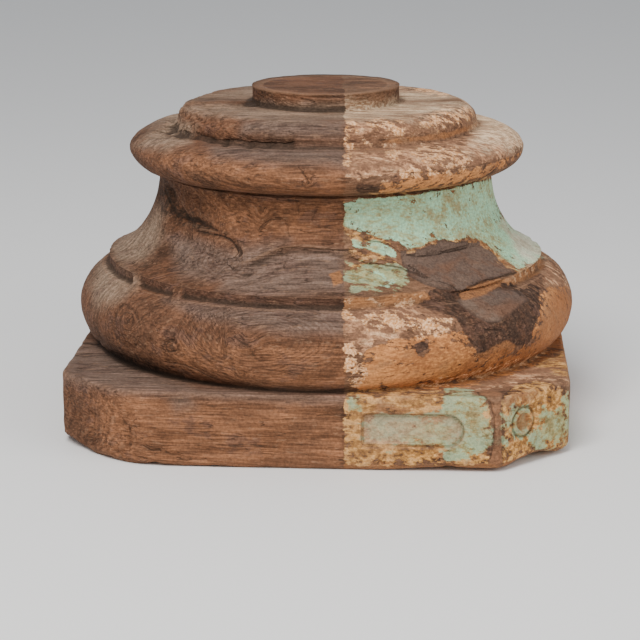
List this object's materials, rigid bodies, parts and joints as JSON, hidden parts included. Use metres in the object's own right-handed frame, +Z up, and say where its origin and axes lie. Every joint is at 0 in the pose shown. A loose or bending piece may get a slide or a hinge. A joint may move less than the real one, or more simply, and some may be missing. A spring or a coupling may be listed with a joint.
{
  "type": "column base",
  "caption": "Salvaged wooden column base: stacked turned mouldings on a square plinth with cut corners, half stripped to bare wood and half with worn old paint.",
  "frame": {"origin": "centre of the plinth's flat underside, on the axis of the turned mouldings", "axes": "+Z up along the turned axis; -Y towards the front face of the plinth, the one with the sunk panel; +X towards the painted end of that face"},
  "size_m": [0.436, 0.436, 0.281],
  "materials": {
    "aged_wood": "dry weathered wood, bare and brown on one half, with worn turquoise, ochre and cream paint on the other"
  },
  "bodies": {
    "root": {"column_base": "aged_wood"}
  },
  "joints": []
}
